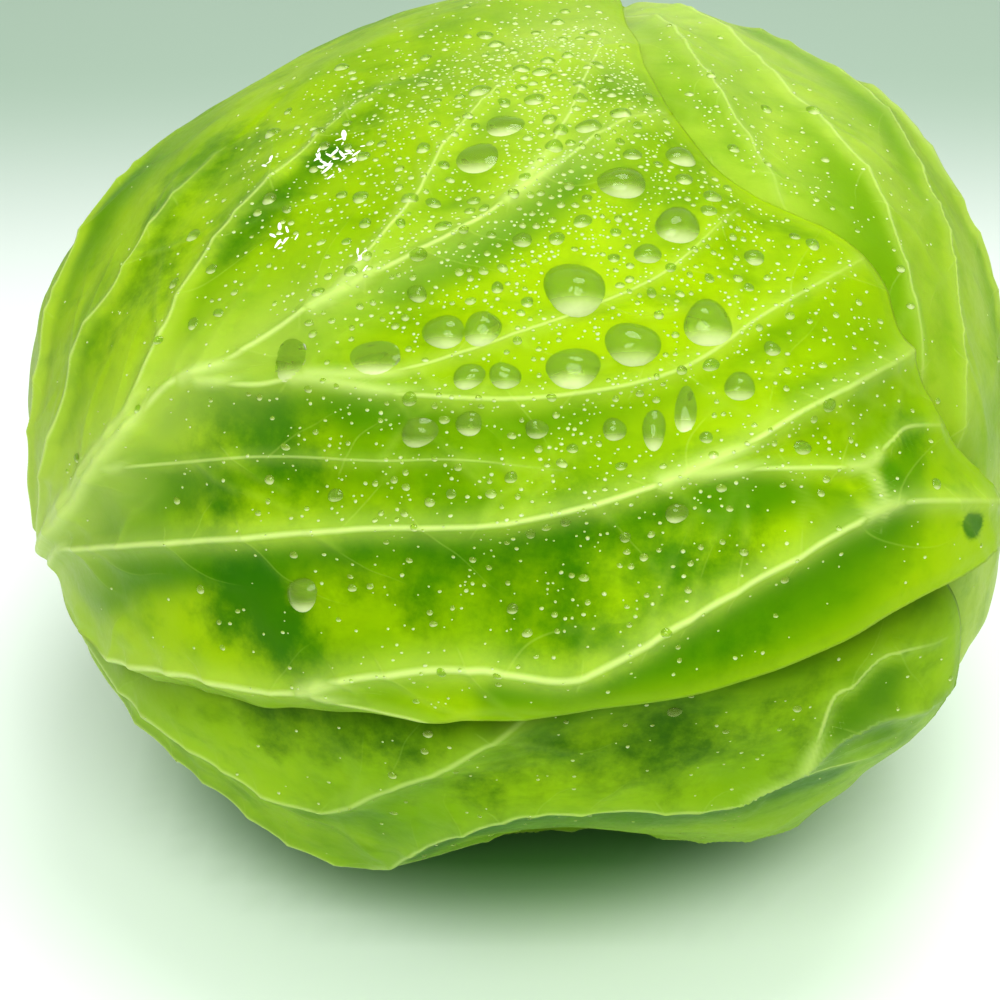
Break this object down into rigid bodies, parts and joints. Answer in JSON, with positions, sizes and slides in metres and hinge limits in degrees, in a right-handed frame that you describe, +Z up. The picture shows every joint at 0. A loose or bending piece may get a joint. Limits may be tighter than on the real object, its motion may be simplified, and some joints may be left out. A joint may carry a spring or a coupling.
{
  "type": "white cabbage",
  "caption": "Trimmed head of white cabbage lying on its side: overlapping ribbed leaves wrapped round a packed heart on a cut stalk.",
  "frame": {"origin": "middle of the footprint, on the surface that the head rests on", "axes": "+Z up; +X along the head's length, from the cut stalk towards the crown; -Y is the side that faces the viewer"},
  "size_m": [0.1678, 0.1637, 0.1392],
  "materials": {
    "stalk": "cut stalk, pale and fibrous, slightly dry",
    "heart": "packed inner leaves, pale yellow-green, satin",
    "pale_leaf": "waxy pale green leaf with whitish ribs and veins",
    "green_leaf": "waxy bright green leaf with paler ribs and veins, wet with drops of water"
  },
  "bodies": {
    "root": {"stalk": "stalk", "heart": "heart", "tip_leaf": "pale_leaf", "crown_leaf": "pale_leaf", "lower_back_leaf": "green_leaf", "back_leaf": "green_leaf", "lower_front_leaf": "green_leaf", "front_leaf": "green_leaf"}
  },
  "joints": []
}
